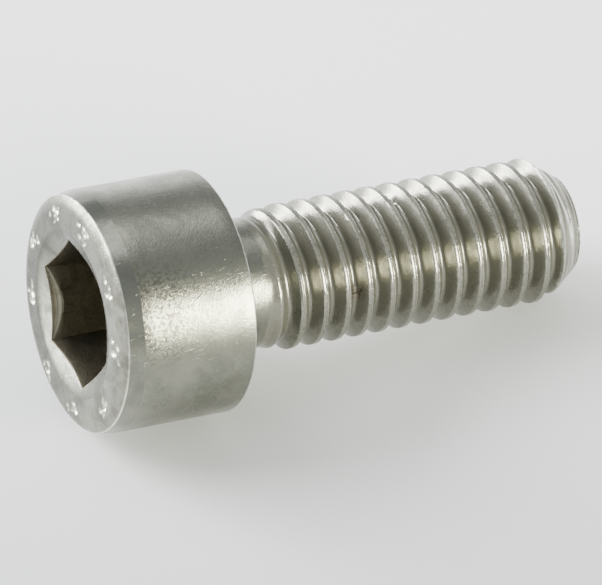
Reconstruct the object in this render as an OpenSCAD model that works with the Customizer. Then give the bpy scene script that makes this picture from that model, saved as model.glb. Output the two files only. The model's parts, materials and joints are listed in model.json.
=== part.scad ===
// Hex socket cap screw, M6 x 16 with coarse thread, lying on a level floor.
// It rests on the rear rim of its head and on the end of its thread. The tip points along +X and a
// little down. The shank is drawn at the thread's outer diameter, with no helix cut into it.

/* [Head] */
// Diameter of the cylindrical head, mm
head_d = 9.9; // [8.2:0.05:12]
// Height of the head from its front face to the bearing face, mm
head_h = 5.85; // [4.8:0.05:7.2]
// Radius of the rounded front edge of the head, mm
edge_r = 0.95; // [0.5:0.05:1.2]
// How far back from the front face the rounded edge reaches, mm
edge_depth = 0.28; // [0.15:0.01:0.45]
// Length of the slight taper behind the rounded edge, mm
taper_l = 0.62; // [0.2:0.02:1]
// How much smaller the head's radius is at the front of the taper, mm
taper_drop = 0.1; // [0.02:0.01:0.2]
// Small edge break at the rear rim of the head, mm
rim_break = 0.1; // [0.05:0.05:0.3]

/* [Hex socket] */
// Size of the hex key that fits the socket, across flats, mm
key_size = 5; // [4:0.5:6]
// Clearance between the key and the socket, across flats, mm
key_clearance = 0.14; // [0.02:0.01:0.14]
// Depth of the socket's flats below the front face, mm
socket_depth = 3.1; // [2.5:0.05:3.7]
// Extra depth of the shallow cone in the socket's floor, mm
socket_floor_cone = 0.45; // [0.1:0.05:0.6]
// How far the lead-in chamfer reaches past the socket's corners at the front face, mm
lead_in_w = 0.4; // [0.1:0.05:0.7]
// Angle between the lead-in chamfer and the front face, degrees
lead_in_angle = 20; // [15:1:45]
// How far the socket's corners are turned about the screw's axis, degrees
socket_turn = 33.5; // [0:0.5:60]

/* [Shank] */
// Outer diameter of the thread, over its crests, mm
thread_d = 5.9; // [5:0.05:7.1]
// Length from the bearing face to the tip, mm
shank_l = 16; // [13:0.5:25]
// How far the bare neck below the head lies under the thread's crests, mm
neck_step = 0.3; // [0.1:0.05:0.5]
// Length of the bare neck, with its fillet, mm
neck_l = 1.6; // [1:0.1:2.5]
// Length over which the thread rises from the neck to its full diameter, mm
runout_l = 1.8; // [1:0.1:2.5]
// Radius of the fillet between the neck and the bearing face, mm
fillet_r = 0.25; // [0.1:0.05:0.4]
// Length of the 45 degree chamfer at the tip, mm
tip_chamfer = 0.9; // [0.5:0.05:1.2]

/* [Hidden] */
$fa = 3;
$fs = 0.1;

head_r = head_d / 2;
thread_r = thread_d / 2;
neck_r = thread_r - neck_step;
tip_r = thread_r - tip_chamfer;
tip_z = head_h + shank_l;
thread_start_z = head_h + neck_l + runout_l;
thread_end_z = tip_z - tip_chamfer;

socket_flats = key_size + key_clearance;
socket_corner_r = socket_flats / 2 / cos(30);
lead_in_r = socket_corner_r + lead_in_w;
lead_in_l = lead_in_r * tan(lead_in_angle);
cut_over = 0.5;

// The rounded front edge starts at edge_start_r on the face and ends at the crease before the taper.
crease_r = head_r - taper_drop;
edge_start_r = crease_r - sqrt(edge_r ^ 2 - (edge_r - edge_depth) ^ 2);

// The floor touches the rear rim of the head and the last full turn of the thread.
rim_z = head_h - rim_break;
tilt = atan((head_r - thread_r) / (thread_end_z - rim_z));
axis_lift = rim_z * sin(tilt) + head_r * cos(tilt);

// The screw's ends along X, so that the origin is under the middle of its length.
head_end_x = edge_r * cos(tilt) - edge_start_r * sin(tilt) - edge_r;
tip_end_x = tip_z * cos(tilt) + tip_r * sin(tilt);
middle_x = (head_end_x + tip_end_x) / 2;

// The seam of the round surfaces is turned this far from straight down, off the line of rest.
seam_turn = -21.5;

steel = [0.62, 0.60, 0.57];

// The sections below have the radius along X and the distance from the front face along Y.
module head_section() {
    polygon([
        [0, 0],
        [edge_start_r, 0],
        [crease_r, edge_depth],
        [head_r, edge_depth + taper_l],
        [head_r, rim_z],
        [head_r - rim_break, head_h],
        [0, head_h]
    ]);
    intersection() {
        translate([edge_start_r, edge_r])
            circle(r = edge_r);
        square([crease_r, edge_depth]);
    }
}

module shank_section() {
    polygon([
        [0, head_h - cut_over],
        [neck_r, head_h - cut_over],
        [neck_r, head_h + neck_l],
        [thread_r, thread_start_z],
        [thread_r, thread_end_z],
        [tip_r, tip_z],
        [0, tip_z]
    ]);
}

module fillet_section() {
    difference() {
        translate([neck_r - fillet_r, head_h - fillet_r])
            square(2 * fillet_r);
        translate([neck_r + fillet_r, head_h + fillet_r])
            circle(r = fillet_r);
    }
}

module hex_socket() {
    rotate([0, 0, socket_turn]) {
        translate([0, 0, -cut_over])
            cylinder(h = socket_depth + cut_over, r = socket_corner_r, $fn = 6);
        intersection() {
            translate([0, 0, socket_depth])
                cylinder(h = socket_floor_cone, r1 = socket_corner_r, r2 = 0);
            cylinder(h = tip_z, r = socket_corner_r, $fn = 6);
        }
    }
    rotate_extrude()
        polygon([
            [0, -cut_over],
            [lead_in_r, -cut_over],
            [lead_in_r, 0],
            [0, lead_in_l]
        ]);
}

module screw() {
    color(steel)
        translate([-middle_x, 0, axis_lift])
            rotate([0, 90 + tilt, 0])
                difference() {
                    rotate([0, 0, seam_turn])
                        rotate_extrude() {
                            head_section();
                            shank_section();
                            fillet_section();
                        }
                    hex_socket();
                }
}

screw();
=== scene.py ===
import json
import math
import random

import bmesh
import bpy
from mathutils import Matrix, Vector, noise


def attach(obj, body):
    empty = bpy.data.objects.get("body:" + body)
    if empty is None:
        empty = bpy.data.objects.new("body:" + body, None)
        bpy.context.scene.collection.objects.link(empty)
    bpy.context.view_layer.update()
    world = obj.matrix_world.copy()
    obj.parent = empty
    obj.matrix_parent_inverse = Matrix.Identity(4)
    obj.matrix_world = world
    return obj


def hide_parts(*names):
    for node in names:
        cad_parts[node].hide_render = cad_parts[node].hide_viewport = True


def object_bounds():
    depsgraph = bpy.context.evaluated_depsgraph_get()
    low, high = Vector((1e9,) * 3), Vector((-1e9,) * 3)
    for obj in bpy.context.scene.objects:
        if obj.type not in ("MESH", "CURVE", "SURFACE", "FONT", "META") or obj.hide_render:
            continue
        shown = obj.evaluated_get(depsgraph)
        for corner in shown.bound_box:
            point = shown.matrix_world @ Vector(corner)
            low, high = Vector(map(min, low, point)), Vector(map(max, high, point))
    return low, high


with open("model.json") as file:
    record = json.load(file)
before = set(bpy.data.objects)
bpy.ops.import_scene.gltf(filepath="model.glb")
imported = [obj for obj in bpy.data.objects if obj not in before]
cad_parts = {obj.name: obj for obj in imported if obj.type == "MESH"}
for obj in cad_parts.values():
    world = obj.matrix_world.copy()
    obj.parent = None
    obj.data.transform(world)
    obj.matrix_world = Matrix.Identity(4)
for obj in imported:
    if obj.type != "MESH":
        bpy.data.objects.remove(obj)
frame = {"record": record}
cad_box = [list(corner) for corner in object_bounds()]

MM = 0.001
TAU = 2 * math.pi

# ---------------------------------------------------------------- places and sizes
mounts = {mount["name"]: mount for mount in frame["record"]["mounts"]}
face_centre = Vector(mounts["hex_socket"]["pos_m"])
to_tip = Vector(mounts["threaded_shank"]["axis"]).normalized()
bearing_point = Vector(mounts["bearing_face"]["pos_m"])
thread_middle = Vector(mounts["threaded_shank"]["pos_m"])
thread_length = mounts["threaded_shank"]["dims"]["length_mm"]

# The sizes below are in mm. Those along the axis are measured from the front face of the head.

# The head
HEAD_LENGTH = (bearing_point - face_centre).dot(to_tip) / MM
HEAD_R = (cad_box[1][1] - cad_box[0][1]) / 2 / MM
EDGE_R = 0.95
EDGE_DEPTH = 0.245
CREASE_LENGTH = 0.035
CREASE_RISE = 0.012
TAPER_DROP = 0.115
TAPER_END = 0.95
TAPER_WAVER = 0.05
TAPER_STEPS = (0.0, 0.04, 0.2, 0.4, 0.6, 0.8, 0.97, 1.0)
RIM_BREAK = 0.1
BEARING_R = 3.8

# The neck
NECK_R = 2.65
FILLET_R = 0.4
NECK_END = HEAD_LENGTH + 2.0

# The socket. Its mouth is worn wider than its depth, most of all on one side.
KEY_FLATS = 5.14
MOUTH_FLATS = 5.30
SOCKET_TURN = math.radians(33.5)
SOCKET_DEPTH = 3.1
SOCKET_CONE = 0.45
LEAD_IN_W = 0.47
LEAD_IN_ANGLE = math.radians(20)
LEAD_IN_STEP = 0.008
FACE_GAP = 0.03
WORN_SIDE = math.radians(243.5)
WORN_ELSEWHERE = 0.12

# The thread
THREAD_R = mounts["threaded_shank"]["dims"]["r_mm"]
THREAD_END = (thread_middle - face_centre).dot(to_tip) / MM + thread_length / 2
PITCH = 1.0
FLANK_ANGLE = math.radians(30)
CREST_HALF = 0.1
ROOT_R = 0.15
CREST_PHASE = 0.68
SEAM_DEPTH = 0.02
SEAM_OFF = 0.045
SEAM_HALF = 0.016
RUNOUT_START = HEAD_LENGTH + 1.7
RUNOUT_END = HEAD_LENGTH + 3.2

# The tip, with fine turned rings on its chamfer
TIP_CHAMFER = 0.9
TIP_LENGTH = THREAD_END + TIP_CHAMFER
TIP_FLAT = 0.05
CHAMFER_START = TIP_LENGTH - 1.3
CHAMFER_SLOPE = 0.72
TURNED_DEPTH = 0.014
TURNED_STEP = 0.31

# Wear, with painted highlights, painted sheen and painted light
NICK_ANGLE = math.radians(-10)
NICK_Z = 14.0
NICK_DEPTH = 0.16
NICK_ACROSS = 0.16
NICK_ALONG = 0.22
# Where the lead-in's painted highlight lies, and how far it spreads.
LEAD_IN_HIGHLIGHT_ANGLE = math.radians(218)
LEAD_IN_HIGHLIGHT_SPREAD = 0.65
# How much lighter the face is painted towards one side: a painted sheen.
FACE_PAINTED_SHEEN = 0.2
# Where the crests are painted lighter, on their upper side, and how far that spreads: painted light.
CREST_PAINTED_LIGHT_ANGLE = math.radians(52)
CREST_PAINTED_LIGHT_SPREAD = 0.65

# Small plain dints in the face: their places, and ranges for their half sizes and depths
DINT_GROUPS = 9
DINTS_EACH = 9
GROUP_WANDER = 0.22
GROUP_SPREAD = 0.11
DINT_BAND = (3.72, 4.34)
DINT_LONG = (0.07, 0.15)
DINT_SHORT = (0.055, 0.08)
DINT_DEEP = (0.06, 0.1)

# Points round the mesh, and the numbers of its material areas
HEAD_AROUND = 384
THREAD_AROUND = 192
HEAD, THREAD, SOCKET, FACE, TAPER = 0, 1, 2, 3, 4


def local_frame():
    """The screw's own axes: X up across the axis, Y towards the viewer's side, Z to the tip."""
    side = Vector((0, -1, 0))
    across = side.cross(to_tip).normalized()
    turn = Matrix((across, side, to_tip)).transposed().to_4x4()
    return Matrix.Translation(face_centre) @ turn


def on_screw(r, angle, z):
    """A place on the screw, from its distance off the axis, its angle and its distance from the face."""
    return local_frame() @ (Vector((r * math.cos(angle), r * math.sin(angle), z)) * MM)


# ---------------------------------------------------------------- thread form
# The places across one pitch, from the crest's middle, where the thread's form has a point.
FORM = (-0.5, -0.45, -0.41, -0.37, -0.28, -0.19, -0.14, -0.105, -0.08, -0.04, 0.0, 0.025,
        0.045, 0.065, 0.085, 0.105, 0.14, 0.19, 0.28, 0.37, 0.41, 0.45)


def ease(x):
    """A smooth step from 0 to 1."""
    x = min(1.0, max(0.0, x))
    return x * x * (3 - 2 * x)


def bell(x):
    """A smooth bump: 1 at its middle, and nearly gone at 2."""
    return math.exp(-x ** 2)


def crest_drop(s):
    """How far the thread's surface lies below its crest, s pitches from the crest's middle."""
    slope = 1 / math.tan(FLANK_ANGLE)
    away = abs(s)
    vertex = (0.5 - CREST_HALF) * slope
    tangent = 0.5 - ROOT_R * math.cos(FLANK_ANGLE)
    if away > tangent:
        return vertex - 2 * ROOT_R + math.sqrt(ROOT_R ** 2 - (0.5 - away) ** 2)
    return max(0.0, away - CREST_HALF) * slope


def shank_radius(s, z):
    """The shank's radius at a place on the thread form and a distance from the front face."""
    rise = ease((z - RUNOUT_START) / (RUNOUT_END - RUNOUT_START))
    threaded = THREAD_R - crest_drop(s)
    seam = SEAM_DEPTH * bell((s - SEAM_OFF) / SEAM_HALF)
    radius = NECK_R + rise * (threaded - seam - NECK_R)
    chamfer = THREAD_R - CHAMFER_SLOPE * (z - CHAMFER_START)
    chamfer -= TURNED_DEPTH * (1 + math.sin(TAU * z / TURNED_STEP))
    return min(radius, chamfer)


def crest_wear_and_highlights(s, r, z):
    """How much a place is a rubbed crest, and how much a painted highlight along the sharp edge of the
    tip's chamfer.

    The crest has a broad rubbed band and two thin painted highlight lines along its edges, and both fade
    where the thread runs out.
    """
    full = ease(r / THREAD_R * 12 - 10.6)
    band = 0.3 * ease(1.5 - abs(s) / 0.13)
    # Two thin painted highlights run along the crest's edges.
    line = bell((s - 0.1) / 0.03) + 0.6 * bell((s + 0.09) / 0.02)
    clipped = CHAMFER_SLOPE * (z - CHAMFER_START) - crest_drop(s)
    # A painted highlight along the sharp edge where the chamfer cuts the thread.
    ridge = bell(clipped / 0.07) if z > CHAMFER_START else 0.0
    return min(1.0, full * (band + line) + ridge), ridge


def crest_knocks(crest, angle, r, z):
    """How far small hollows, and one nick on the upper side, take a crest down."""
    spot = Vector((r * math.cos(angle), r * math.sin(angle), z))
    rough = 0.028 * crest * noise.noise(spot * 3.5) + 0.018 * crest * noise.noise(spot * 9.0)
    over = math.remainder(angle - NICK_ANGLE, TAU) * THREAD_R / NICK_ACROSS
    along = (z - NICK_Z) / NICK_ALONG
    return abs(rough) + NICK_DEPTH * math.exp(-over ** 2 - along ** 2)


# ---------------------------------------------------------------- mesh building
class Builder:
    """Gathers rings of points round the axis and the faces between them."""

    def __init__(self):
        self.points = []
        self.faces = []
        self.regions = []
        self.crests = {}
        self.wear_and_highlight = {}

    def ring(self, count, radius_at, z_at, wear_and_highlight_at=lambda angle: 0.0):
        """A ring of points; its radius, distance and wear value, which also holds painted highlights, may
        each change with the angle.
        """
        first = len(self.points)
        for j in range(count):
            angle = TAU * j / count
            r = radius_at(angle)
            place = angle + SOCKET_TURN
            self.points.append((r * math.cos(place), r * math.sin(place), z_at(angle)))
            self.wear_and_highlight[first + j] = wear_and_highlight_at(angle)
        return list(range(first, first + count))

    def round_ring(self, count, r, z, wear_and_highlight=0.0):
        """A ring with the same radius, distance and wear value all the way round; the wear value also
        holds painted highlights.
        """
        return self.ring(count, lambda angle: r, lambda angle: z, lambda angle: wear_and_highlight)

    def face(self, corners, region):
        """One face, unless its corners fall together."""
        kept = [c for n, c in enumerate(corners) if c != corners[n - 1]]
        if len(kept) > 2 and len(set(kept)) == len(kept):
            self.faces.append(kept)
            self.regions.append(region)

    def join(self, low, high, region):
        """Faces between two rings; the low ring may have twice the points of the high one."""
        step = len(low) // len(high)
        for j in range(len(high)):
            k = (j + 1) % len(high)
            start, end = low[step * j], low[step * k]
            if step == 1:
                self.face((start, high[j], high[k], end), region)
            else:
                middle = low[step * j + 1]
                self.face((start, high[j], middle), region)
                self.face((middle, high[j], high[k], end), region)

    def close(self, ring, z, region):
        """Faces from a ring to one point on the axis."""
        middle = len(self.points)
        self.points.append((0.0, 0.0, z))
        for j in range(len(ring)):
            self.face((ring[j], middle, ring[(j + 1) % len(ring)]), region)


def hex_radius(angle, flats):
    """The distance from the axis to a hexagon's side; the angle is measured from a corner."""
    sixth = TAU / 6
    return flats / 2 / math.cos(angle % sixth - sixth / 2)


def taper_end(angle):
    """Where the taper ends along the axis; it wavers a little round the head."""
    return TAPER_END + TAPER_WAVER * noise.noise((5.0 * math.cos(angle), 5.0 * math.sin(angle), 3.0))


# ---------------------------------------------------------------- head
def scattered_dints():
    """Small plain dints round the face: each has a place, a long way, two half sizes and a depth."""
    chance = random.Random(11)
    dints = []
    for group in range(DINT_GROUPS):
        middle = TAU * (group + chance.uniform(-GROUP_WANDER, GROUP_WANDER)) / DINT_GROUPS
        for _ in range(DINTS_EACH):
            angle = middle + chance.uniform(-GROUP_SPREAD, GROUP_SPREAD)
            r = chance.uniform(*DINT_BAND)
            turn = chance.uniform(0, math.pi)
            long_half = chance.uniform(*DINT_LONG)
            short_half = chance.uniform(*DINT_SHORT)
            deep = chance.uniform(*DINT_DEEP)
            dints.append((r * math.cos(angle), r * math.sin(angle), turn, long_half, short_half, deep))
    return dints


def dint_depth(dints, x, y):
    """How deep the face is dinted at a place."""
    depth = 0.0
    for cx, cy, turn, long_half, short_half, deep in dints:
        dx, dy = x - cx, y - cy
        if abs(dx) > 0.5 or abs(dy) > 0.5:
            continue
        along = (dx * math.cos(turn) + dy * math.sin(turn)) / long_half
        over = (dy * math.cos(turn) - dx * math.sin(turn)) / short_half
        depth += deep * math.exp(-along ** 2 - over ** 2)
    return depth


def build_face(b, face_r):
    """The front face, from the lead-in's rim over the rounded edge to the crease behind it."""
    crease_r = HEAD_R - TAPER_DROP
    start_r = crease_r - math.sqrt(EDGE_R ** 2 - (EDGE_R - EDGE_DEPTH) ** 2)
    flat = [(face_r + (start_r - face_r) * n / 13, 0.0) for n in range(13)]
    sweep = math.acos(1 - EDGE_DEPTH / EDGE_R)
    edge = []
    for n in range(15):
        beta = sweep * n / 14
        edge.append((start_r + EDGE_R * math.sin(beta), EDGE_R * (1 - math.cos(beta))))
    dints = scattered_dints()

    def dint_at(angle, r):
        place = angle + SOCKET_TURN
        return dint_depth(dints, r * math.cos(place), r * math.sin(place))

    # A painted sheen: the face is painted lighter towards one side.
    def painted_sheen(angle):
        return FACE_PAINTED_SHEEN * (1 + math.sin(angle + SOCKET_TURN)) / 2

    rings = []
    for r, z in flat + edge:
        # The rings at the crease get a painted highlight: the thin bright line round the face's edge.
        crease = 0.7 if z > EDGE_DEPTH - 0.01 else 0.0
        rings.append(b.ring(HEAD_AROUND, lambda angle: r, lambda angle: z + dint_at(angle, r),
                            lambda angle: max(crease, painted_sheen(angle), ease(dint_at(angle, r) / 0.03))))
    return rings


def build_side(b):
    """The head's side from the crease to the foot of the neck's fillet."""
    rings = []
    start_z = EDGE_DEPTH + CREASE_LENGTH
    start_r = HEAD_R - TAPER_DROP + CREASE_RISE
    for t in TAPER_STEPS:
        # The taper's first ring carries on the crease's painted highlight line.
        rings.append(b.ring(
            HEAD_AROUND, lambda angle: start_r + (HEAD_R - start_r) * t,
            lambda angle: start_z + (taper_end(angle) - start_z) * t,
            lambda angle: 1.0 if t == 0 else 0.0))
    rim_z = HEAD_LENGTH - RIM_BREAK
    side_z = TAPER_END + 0.08
    side_steps = 10
    for n in range(1, side_steps):
        rings.append(b.round_ring(HEAD_AROUND, HEAD_R, side_z + (rim_z - side_z) * n / side_steps))
    for n in range(5):
        a = math.pi / 2 * n / 4
        inset = RIM_BREAK * (1 - math.cos(a))
        # The middle rings of the rim's rounded break get a painted highlight: a bright line round the
        # back of the head.
        rings.append(b.round_ring(HEAD_AROUND, HEAD_R - inset, rim_z + RIM_BREAK * math.sin(a),
                                  1.0 if n in (1, 2, 3) else 0.0))
    rings.append(b.round_ring(HEAD_AROUND, BEARING_R, HEAD_LENGTH))
    for n in range(6):
        a = math.pi / 2 * n / 5
        r = NECK_R + FILLET_R * (1 - math.sin(a))
        count = THREAD_AROUND if n == 5 else HEAD_AROUND
        rings.append(b.round_ring(count, r, HEAD_LENGTH + FILLET_R * (1 - math.cos(a))))
    return rings


# ---------------------------------------------------------------- socket
# The worn top of the walls: how deep each ring lies, how far it stands in and how much it shines,
# at the middle of the worn side.
WORN_WALL = ((0.04, 0.0, 0.0), (0.08, 0.004, 0.9), (0.2, 0.012, 0.9), (0.24, 0.03, 0.0),
             (0.29, 0.045, 0.7), (0.38, 0.08, 0.7), (0.42, 0.1, 0.0), (0.5, 0.115, 0.3))

# The plain walls below it: how deep each ring lies and how far it draws in across the flats.
PLAIN_WALL = ((0.75, 0.02), (1.4, 0.06), (2.3, 0.08), (SOCKET_DEPTH, 0.1))


def lead_in_radius():
    """The outer radius of the lead-in round the socket's mouth."""
    return hex_radius(0.0, KEY_FLATS) + LEAD_IN_W


def mouth_r(angle, share):
    """The lead-in's radius, from its rim at share 0 to the hexagon at share 1."""
    return lead_in_radius() + (hex_radius(angle, MOUTH_FLATS) - lead_in_radius()) * share


def mouth_z(angle, share):
    """The lead-in's depth at the same places."""
    return (lead_in_radius() - mouth_r(angle, share)) * math.tan(LEAD_IN_ANGLE) + LEAD_IN_STEP


def rub_and_highlight(angle, share):
    """How bright the lead-in is: a light rub from the key everywhere, and a painted highlight on one
    side.
    """
    below = math.remainder(angle + SOCKET_TURN - LEAD_IN_HIGHLIGHT_ANGLE, TAU)
    return share * (0.1 + 0.9 * bell(below / LEAD_IN_HIGHLIGHT_SPREAD))


def pocket(angle):
    """How far the key has worn the walls: 1 at the worn side's middle, small elsewhere."""
    off = math.remainder(angle + SOCKET_TURN - WORN_SIDE, TAU)
    if abs(off) >= TAU / 12:
        return WORN_ELSEWHERE
    return WORN_ELSEWHERE + (1 - WORN_ELSEWHERE) * max(0.0, math.cos(3 * off)) ** 0.7


def build_socket(b, face_ring):
    """The lead-in and the hexagonal socket, down to its shallow conical floor."""
    last = face_ring
    # The lead-in rings carry a light rub all round and a painted highlight on one side.
    for share in (0.06, 0.35, 0.65, 0.96):
        ring = b.ring(HEAD_AROUND, lambda angle: mouth_r(angle, share),
                      lambda angle: mouth_z(angle, share),
                      lambda angle: rub_and_highlight(angle, min(1, 2 * share)))
        b.join(ring, last, FACE)
        last = ring
    for depth, inset, shine in WORN_WALL:
        ring = b.ring(HEAD_AROUND, lambda angle: hex_radius(angle, MOUTH_FLATS) - inset * pocket(angle),
                      lambda angle: mouth_z(angle, 1.0) + depth * pocket(angle),
                      lambda angle: shine * pocket(angle))
        b.join(ring, last, SOCKET)
        last = ring
    for depth, draw in PLAIN_WALL:
        ring = b.ring(HEAD_AROUND, lambda angle: hex_radius(angle, KEY_FLATS - draw), lambda angle: depth)
        b.join(ring, last, SOCKET)
        last = ring
    middle = b.ring(HEAD_AROUND, lambda angle: hex_radius(angle, KEY_FLATS) / 2,
                    lambda angle: SOCKET_DEPTH + SOCKET_CONE / 2)
    b.join(middle, last, SOCKET)
    b.close(middle, SOCKET_DEPTH + SOCKET_CONE, SOCKET)


def build_head(b):
    """The head with its socket. Returns the ring at the foot of the neck's fillet."""
    face_rings = build_face(b, lead_in_radius() + FACE_GAP)
    for low, high in zip(face_rings, face_rings[1:]):
        b.join(low, high, FACE)
    side_rings = build_side(b)
    b.join(face_rings[-1], side_rings[0], FACE)
    for n, (low, high) in enumerate(zip(side_rings, side_rings[1:])):
        b.join(low, high, TAPER if n < len(TAPER_STEPS) - 1 else HEAD)
    build_socket(b, face_rings[0])
    return side_rings[-1]


# ---------------------------------------------------------------- shank
def shank_point(b, s, angle, z):
    """Adds one point of the thread, with how far it is rubbed bright and how much painted highlight and
    painted light it carries. Returns its number.
    """
    r = shank_radius(s, z)
    crest, ridge = crest_wear_and_highlights(s, r, z)
    r -= crest_knocks(crest, angle, r, z)
    # The crests are painted lighter on their upper side, towards the viewer: painted light.
    off = math.remainder(angle - CREST_PAINTED_LIGHT_ANGLE, TAU) / CREST_PAINTED_LIGHT_SPREAD
    number = len(b.points)
    # The chamfer's sharp edge gets its painted highlight through the wear value.
    b.wear_and_highlight[number] = 0.8 * ridge
    b.crests[number] = crest * (0.35 + 0.65 * bell(off))
    b.points.append((r * math.cos(angle), r * math.sin(angle), z))
    return number


def build_shank(b, neck_ring):
    """The helical thread between the neck and the tip."""
    start = HEAD_LENGTH + FILLET_R
    end = TIP_LENGTH - TIP_FLAT
    end_r = THREAD_R - CHAMFER_SLOPE * (end - CHAMFER_START)
    tip_ring = b.round_ring(THREAD_AROUND, end_r, end)
    per_turn = len(FORM)
    turns_before = int(start) - 2
    rows = (int(TIP_LENGTH) + 2 - turns_before) * per_turn
    made = {}

    def place(j, row):
        if j == THREAD_AROUND:
            j, row = 0, row + per_turn
        turn, k = divmod(row, per_turn)
        angle = TAU * j / THREAD_AROUND + SOCKET_TURN
        z = turns_before + turn + CREST_PHASE + (FORM[k] + angle / TAU) * PITCH
        if z <= start + 0.01:
            return neck_ring[j]
        if z >= end - 0.01:
            return tip_ring[j]
        if (j, row) not in made:
            made[j, row] = shank_point(b, FORM[k], angle, z)
        return made[j, row]

    for row in range(rows):
        for j in range(THREAD_AROUND):
            z = turns_before + row / per_turn + CREST_PHASE + j / THREAD_AROUND
            b.face((place(j, row), place(j, row + 1), place(j + 1, row + 1), place(j + 1, row)),
                   HEAD if z < NECK_END else THREAD)
    last = tip_ring
    for inset, ahead in ((0.02, 0.03), (0.06, TIP_FLAT)):
        ring = b.round_ring(THREAD_AROUND, end_r - inset, end + ahead)
        b.join(last, ring, THREAD)
        last = ring
    b.close(last, TIP_LENGTH, THREAD)


# ---------------------------------------------------------------- the whole screw
def store(mesh, name, values):
    """Keeps a value at each point of the mesh, for the materials to read."""
    kept = mesh.attributes.new(name, "FLOAT", "POINT")
    for index, value in values.items():
        kept.data[index].value = value


def build_screw():
    """The screw as one mesh, laid in its place."""
    b = Builder()
    neck_ring = build_head(b)
    build_shank(b, neck_ring)
    mesh = bpy.data.meshes.new("cap_screw")
    mesh.from_pydata([tuple(c * MM for c in p) for p in b.points], [], b.faces)
    store(mesh, "crest", b.crests)
    store(mesh, "wear_and_highlight", b.wear_and_highlight)
    for polygon, region in zip(mesh.polygons, b.regions):
        polygon.material_index = region
        polygon.use_smooth = True
    tidy = bmesh.new()
    tidy.from_mesh(mesh)
    bmesh.ops.delete(tidy, geom=[v for v in tidy.verts if not v.link_faces], context="VERTS")
    bmesh.ops.recalc_face_normals(tidy, faces=tidy.faces)
    tidy.to_mesh(mesh)
    tidy.free()
    mesh.transform(local_frame())
    screw = bpy.data.objects.new("cap_screw", mesh)
    bpy.context.scene.collection.objects.link(screw)
    mesh.set_sharp_from_angle(angle=math.radians(35))
    return screw


# ---------------------------------------------------------------- node helpers
def node_of(tree, kind, **settings):
    """A new node with its plain settings put in."""
    node = tree.nodes.new(kind)
    for name, value in settings.items():
        setattr(node, name, value)
    return node


def fill(tree, socket, value):
    """Links an output to a socket, or sets a plain value on it. A colour needs no alpha."""
    if hasattr(value, "is_output"):
        tree.links.new(value, socket)
    elif socket.type == "RGBA":
        socket.default_value = (*value, 1)
    else:
        socket.default_value = value


def put_in(tree, node, **inputs):
    """Fills a node's sockets by name."""
    for name, value in inputs.items():
        fill(tree, node.inputs[name.replace("_", " ")], value)
    return node


def numbers(tree, operation, *values, clamp=False):
    """A Math node's result."""
    node = node_of(tree, "ShaderNodeMath", operation=operation, use_clamp=clamp)
    for socket, value in zip(node.inputs, values):
        fill(tree, socket, value)
    return node.outputs[0]


def between(tree, value, low, high, to_low=0.0, to_high=1.0):
    """Carries a value from one range to another, held at its ends."""
    node = node_of(tree, "ShaderNodeMapRange", interpolation_type="SMOOTHSTEP")
    put_in(tree, node, Value=value, From_Min=low, From_Max=high, To_Min=to_low, To_Max=to_high)
    return node.outputs["Result"]


def blend(tree, share, first, second):
    """A colour between two colours."""
    node = node_of(tree, "ShaderNodeMix", data_type="RGBA")
    for index, value in ((0, share), (6, first), (7, second)):
        fill(tree, node.inputs[index], value)
    return node.outputs[2]


def cloud(tree, place, scale, detail, roughness, distortion=0.0):
    """A noise value; the scale is in cells a millimetre."""
    node = node_of(tree, "ShaderNodeTexNoise")
    put_in(tree, node, Vector=place, Scale=scale, Detail=detail, Roughness=roughness,
           Distortion=distortion)
    return node.outputs["Fac"]


def open_group(name, inputs, outputs):
    """A new shader group with named inputs and outputs, and what it takes and gives."""
    group = bpy.data.node_groups.new(name, "ShaderNodeTree")
    for label, kind in inputs:
        group.interface.new_socket(name=label, in_out="INPUT", socket_type="NodeSocket" + kind)
    for label, kind in outputs:
        group.interface.new_socket(name=label, in_out="OUTPUT", socket_type="NodeSocket" + kind)
    return group, node_of(group, "NodeGroupInput").outputs, node_of(group, "NodeGroupOutput")


# ---------------------------------------------------------------- effects the materials share
def fine_scratches(tree, place):
    """Thin straight scratches in three directions."""
    scratch = 0.0
    for turn, stretch, scale in ((0.5, 14.0, 1.1), (-0.9, 11.0, 1.5), (1.9, 16.0, 1.3)):
        long_way = node_of(tree, "ShaderNodeMapping")
        put_in(tree, long_way, Vector=place, Rotation=(0.3, turn, turn * 0.7),
               Scale=(1.0, stretch, stretch))
        streak = cloud(tree, long_way.outputs[0], scale, 1.0, 0.4)
        scratch = numbers(tree, "MAXIMUM", scratch, between(tree, streak, 0.75, 0.79))
    return scratch


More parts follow.
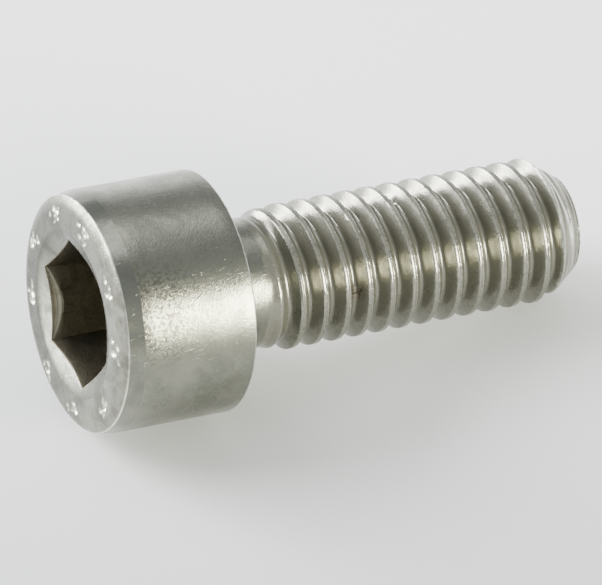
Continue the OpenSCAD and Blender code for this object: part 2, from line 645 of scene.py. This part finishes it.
def worn_steel():
    """Mottled, grained, rubbed and scratched steel, with painted highlights laid in through the mesh's
    wear value and the crest input. Tone is the mottle with its speckle.
    """
    group, taken, given = open_group(
        "worn_steel",
        (("Dark", "Color"), ("Light", "Color"), ("Rubbed", "Color"), ("Scratched", "Color"),
         ("Crest Light", "Color"), ("Crest", "Float"), ("Smoothest", "Float"), ("Roughest", "Float"),
         ("Mottle Size", "Float"), ("Grain", "Float"), ("Scratches", "Float"), ("Bump", "Float")),
        (("Colour", "Color"), ("Roughness", "Float"), ("Normal", "Vector"), ("Tone", "Float"),
         ("Speckle", "Float")))
    spot = node_of(group, "ShaderNodeTexCoord").outputs["Object"]
    in_mm = node_of(group, "ShaderNodeVectorMath", operation="SCALE")
    group.links.new(spot, in_mm.inputs[0])
    in_mm.inputs["Scale"].default_value = 1 / MM
    place = in_mm.outputs[0]

    mottle = cloud(group, place, taken["Mottle Size"], 5.0, 0.62, 0.4)
    speckle = cloud(group, place, 7.0, 3.0, 0.7)
    grain = cloud(group, place, 16.0, 2.0, 0.6)
    scratch = numbers(group, "MULTIPLY", fine_scratches(group, place), taken["Scratches"], clamp=True)
    tone = numbers(group, "ADD", numbers(group, "MULTIPLY", mottle, 0.7),
                   numbers(group, "MULTIPLY", speckle, 0.3))

    chalky = numbers(group, "MULTIPLY", taken["Crest"], between(group, speckle, 0.36, 0.54))
    # The mesh's wear value holds real rubbing and painted highlights alike; both blend towards the
    # rubbed-and-highlight colour.
    wear_and_highlight = node_of(group, "ShaderNodeAttribute", attribute_name="wear_and_highlight").outputs["Fac"]
    bright = numbers(group, "MULTIPLY", wear_and_highlight, between(group, mottle, 0.35, 0.6, 0.35, 1.0))
    colour = blend(group, between(group, tone, 0.36, 0.64), taken["Dark"], taken["Light"])
    colour = blend(group, chalky, colour, taken["Crest Light"])
    colour = blend(group, bright, colour, taken["Rubbed"])
    colour = blend(group, scratch, colour, taken["Scratched"])
    rough = between(group, tone, 0.38, 0.62, taken["Roughest"], taken["Smoothest"])

    rise = numbers(group, "MULTIPLY", grain, taken["Grain"])
    rise = numbers(group, "ADD", rise, numbers(group, "MULTIPLY", speckle, taken["Grain"]))
    rise = numbers(group, "SUBTRACT", rise, numbers(group, "MULTIPLY", scratch, 0.6))
    bump = node_of(group, "ShaderNodeBump")
    put_in(group, bump, Height=rise, Strength=taken["Bump"], Distance=0.02 * MM)
    put_in(group, given, Colour=colour, Roughness=rough, Normal=bump.outputs["Normal"], Tone=tone,
           Speckle=speckle)
    return group


def stain_flecks():
    """Flecks of a stain over a colour, thick within the core and gone at the reach."""
    group, taken, given = open_group(
        "stain_flecks",
        (("Colour", "Color"), ("Stain", "Color"), ("Speckle", "Float"), ("Middle", "Vector"),
         ("Core", "Float"), ("Reach", "Float")),
        (("Colour", "Color"),))
    spot = node_of(group, "ShaderNodeTexCoord").outputs["Object"]
    apart = node_of(group, "ShaderNodeVectorMath", operation="DISTANCE")
    group.links.new(spot, apart.inputs[0])
    group.links.new(taken["Middle"], apart.inputs[1])
    near = between(group, apart.outputs["Value"], taken["Core"], taken["Reach"], 1.0, 0.0)
    flecks = numbers(group, "MULTIPLY", near, between(group, taken["Speckle"], 0.49, 0.55))
    put_in(group, given, Colour=blend(group, flecks, taken["Colour"], taken["Stain"]))
    return group


# ---------------------------------------------------------------- materials
PITTED_PLACE = on_screw(HEAD_R, math.radians(58), 1.6)
PITTED_GREY = (0.075, 0.073, 0.058)
STAIN_PLACE = on_screw(2.55, math.radians(78), 11.35)
STAIN_BROWN = (0.07, 0.048, 0.03)
GROOVE_ROUGHER = 0.03
OXIDE = 0.34


def steel(name, surface, **looks):
    """Stainless steel with the shared surface in it. Returns the material and the surface's outputs."""
    material = bpy.data.materials.new(name)
    material.use_nodes = True
    tree = material.node_tree
    made = put_in(tree, node_of(tree, "ShaderNodeGroup", node_tree=surface), **looks).outputs
    put_in(tree, tree.nodes["Principled BSDF"], Base_Color=made["Colour"], Metallic=1.0,
           Roughness=made["Roughness"], Normal=made["Normal"])
    return material, made


def stain(material, made, flecks, place, core, reach, colour):
    """Lays a patch of stain over a steel. Core and reach are in mm."""
    tree = material.node_tree
    patch = node_of(tree, "ShaderNodeGroup", node_tree=flecks)
    put_in(tree, patch, Colour=made["Colour"], Stain=colour, Speckle=made["Speckle"], Middle=place,
           Core=core * MM, Reach=reach * MM)
    put_in(tree, tree.nodes["Principled BSDF"], Base_Color=patch.outputs["Colour"])


def satin_head(surface, flecks):
    """The head's side and the neck: satin steel with one pitted grey patch."""
    material, made = steel(
        "satin_head", surface, Dark=(0.168, 0.171, 0.139), Light=(0.240, 0.242, 0.197),
        Rubbed=(0.75, 0.75, 0.68), Scratched=(0.42, 0.42, 0.39), Smoothest=0.20, Roughest=0.28,
        Mottle_Size=0.8, Grain=0.6, Scratches=0.25, Bump=0.6)
    stain(material, made, flecks, PITTED_PLACE, 0.3, 3.0, PITTED_GREY)
    return material


def rolled_thread(surface, flecks):
    """The thread: dull with oxide in its grooves, and rubbed back to chalky metal on its crests, with
    painted highlight lines along the crests' edges and the chamfer's edge, and the crests painted lighter
    on their upper side.
    """
    material, made = steel(
        "rolled_thread", surface, Dark=(0.148, 0.146, 0.118), Light=(0.192, 0.189, 0.155),
        Rubbed=(0.85, 0.85, 0.76), Scratched=(0.5, 0.5, 0.46), Crest_Light=(0.36, 0.36, 0.315),
        Smoothest=0.15, Roughest=0.21, Mottle_Size=1.6, Grain=0.4, Scratches=0.35, Bump=0.45)
    stain(material, made, flecks, STAIN_PLACE, 0.15, 0.6, STAIN_BROWN)
    tree = material.node_tree
    crest = node_of(tree, "ShaderNodeAttribute", attribute_name="crest").outputs["Fac"]
    put_in(tree, made["Colour"].node, Crest=crest)
    in_groove = numbers(tree, "SUBTRACT", 1.0, crest, clamp=True)
    rough = numbers(tree, "ADD", made["Roughness"], numbers(tree, "MULTIPLY", in_groove, GROOVE_ROUGHER))
    metal = between(tree, made["Tone"], 0.36, 0.64, 1 - 1.2 * OXIDE, 1 - 0.8 * OXIDE)
    metal = numbers(tree, "ADD", metal, numbers(tree, "MULTIPLY", crest, 0.7 * OXIDE), clamp=True)
    put_in(tree, tree.nodes["Principled BSDF"], Roughness=rough, Metallic=metal)
    return material


def socket_walls(surface):
    """The socket: rougher, in darker brown colours that paint the shade of the recess, with the worn
    pocket rubbed bright.
    """
    return steel(
        "socket_walls", surface, Dark=(0.115, 0.104, 0.076), Light=(0.215, 0.2, 0.152),
        Rubbed=(0.5, 0.46, 0.33), Scratched=(0.3, 0.26, 0.2), Smoothest=0.3, Roughest=0.45,
        Mottle_Size=0.8, Grain=0.8, Scratches=0.3, Bump=0.6)[0]


def forged_face(surface):
    """The face and its rounded edge: dark forged steel, with a painted highlight along the edge's crease,
    a painted sheen towards one side, a painted highlight on one side of the lead-in, and its dints rubbed
    bright.
    """
    return steel(
        "forged_face", surface, Dark=(0.084, 0.085, 0.069), Light=(0.132, 0.132, 0.109),
        Rubbed=(0.95, 0.94, 0.8), Scratched=(0.42, 0.42, 0.39), Smoothest=0.24, Roughest=0.34,
        Mottle_Size=1.1, Grain=0.8, Scratches=0.5, Bump=0.6)[0]


def drawn_taper(surface):
    """The slight taper behind the face's edge: a smoother, drawn steel, painted a little darker than the
    head's side as painted shade, with the crease's painted highlight along its front ring.
    """
    return steel(
        "drawn_taper", surface, Dark=(0.155, 0.157, 0.131), Light=(0.218, 0.22, 0.185),
        Rubbed=(0.8, 0.8, 0.7), Scratched=(0.42, 0.42, 0.39), Smoothest=0.18, Roughest=0.26,
        Mottle_Size=1.1, Grain=0.4, Scratches=0.5, Bump=0.4)[0]


def pale_floor():
    """Matt paper with a painted light falloff: it is painted darker towards the camera and lighter away
    from it.
    """
    material = bpy.data.materials.new("pale_floor")
    material.use_nodes = True
    tree = material.node_tree
    spot = node_of(tree, "ShaderNodeTexCoord").outputs["Object"]
    away = node_of(tree, "ShaderNodeVectorMath", operation="DOT_PRODUCT")
    tree.links.new(spot, away.inputs[0])
    away.inputs[1].default_value = (0.42, 0.91, 0.0)
    # A painted light falloff: the paper is painted darker towards the camera and lighter away from it.
    lighter = between(tree, away.outputs["Value"], -0.022, 0.020)
    shade = blend(tree, lighter, (0.54, 0.55, 0.56), (0.88, 0.89, 0.895))
    put_in(tree, tree.nodes["Principled BSDF"], Base_Color=shade, Roughness=0.9)
    return material


# ---------------------------------------------------------------- the screw in its place
screw = build_screw()
surface = worn_steel()
flecks = stain_flecks()
for material in (satin_head(surface, flecks), rolled_thread(surface, flecks), socket_walls(surface),
                 forged_face(surface), drawn_taper(surface)):
    screw.data.materials.append(material)
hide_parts("screw")
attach(screw, "root")

# ---------------------------------------------------------------- floor
FLOOR_HALF = 1.5
floor_mesh = bpy.data.meshes.new("floor")
corners = [(-FLOOR_HALF, -FLOOR_HALF, 0), (FLOOR_HALF, -FLOOR_HALF, 0),
           (FLOOR_HALF, FLOOR_HALF, 0), (-FLOOR_HALF, FLOOR_HALF, 0)]
floor_mesh.from_pydata(corners, [], [(0, 1, 2, 3)])
floor_mesh.materials.append(pale_floor())
floor = bpy.data.objects.new("floor", floor_mesh)
bpy.context.scene.collection.objects.link(floor)


# ---------------------------------------------------------------- light
def soft_light(name, azimuth, elevation, distance, width, height, power, colour=(1, 1, 1)):
    """A flat soft light that faces the screw, in metres and watts.

    Azimuth 0 is towards +Y and 90 towards +X.
    """
    lamp = bpy.data.lights.new(name, "AREA")
    lamp.shape = "RECTANGLE"
    lamp.size = width
    lamp.size_y = height
    lamp.energy = power
    lamp.color = colour
    light = bpy.data.objects.new(name, lamp)
    a, e = math.radians(azimuth), math.radians(elevation)
    away = Vector((math.sin(a) * math.cos(e), math.cos(a) * math.cos(e), math.sin(e)))
    light.location = away * distance
    light.rotation_euler = away.to_track_quat("Z", "Y").to_euler()
    bpy.context.scene.collection.objects.link(light)


soft_light("back_wall", -29, 9, 0.5, 0.28, 0.16, 5.6)
soft_light("left_window", -57, 37, 0.5, 0.35, 0.22, 6.2)
soft_light("left_wall", -80, 5, 0.5, 0.5, 0.3, 1.1)
soft_light("back_right_wall", 38, 8, 0.5, 0.5, 0.16, 0.4)
soft_light("overhead", 25, 72, 0.22, 0.15, 0.15, 0.15)
soft_light("front_card", 146, 12, 0.5, 0.17, 0.22, 7.2, (1, 0.98, 0.80))
world = bpy.data.worlds.new("studio")
bpy.context.scene.world = world
world.use_nodes = True
put_in(world.node_tree, world.node_tree.nodes["Background"], Color=(0.9, 0.95, 1), Strength=0.76)

# ---------------------------------------------------------------- camera
# The lens and its sensor are in mm, and the view's distance in metres.
VIEW_AZIMUTH = math.radians(25.02)
VIEW_ELEVATION = math.radians(39.80)
VIEW_DISTANCE = 0.4
LENS = 598.8
SENSOR = 36
AIM_RIGHT = 9.151 * MM
AIM_UP = 0.901 * MM

into_view = Vector((math.sin(VIEW_AZIMUTH) * math.cos(VIEW_ELEVATION),
                    math.cos(VIEW_AZIMUTH) * math.cos(VIEW_ELEVATION),
                    -math.sin(VIEW_ELEVATION)))
rightwards = Vector((math.cos(VIEW_AZIMUTH), -math.sin(VIEW_AZIMUTH), 0))
upwards = rightwards.cross(into_view)
aim = face_centre + rightwards * AIM_RIGHT + upwards * AIM_UP
lens = bpy.data.cameras.new("camera")
lens.lens = LENS
lens.sensor_width = SENSOR
lens.clip_start = 0.01
lens.clip_end = 10
camera = bpy.data.objects.new("camera", lens)
camera.location = aim - into_view * VIEW_DISTANCE
camera.rotation_euler = Matrix((rightwards, upwards, -into_view)).transposed().to_euler()
bpy.context.scene.collection.objects.link(camera)
bpy.context.scene.camera = camera
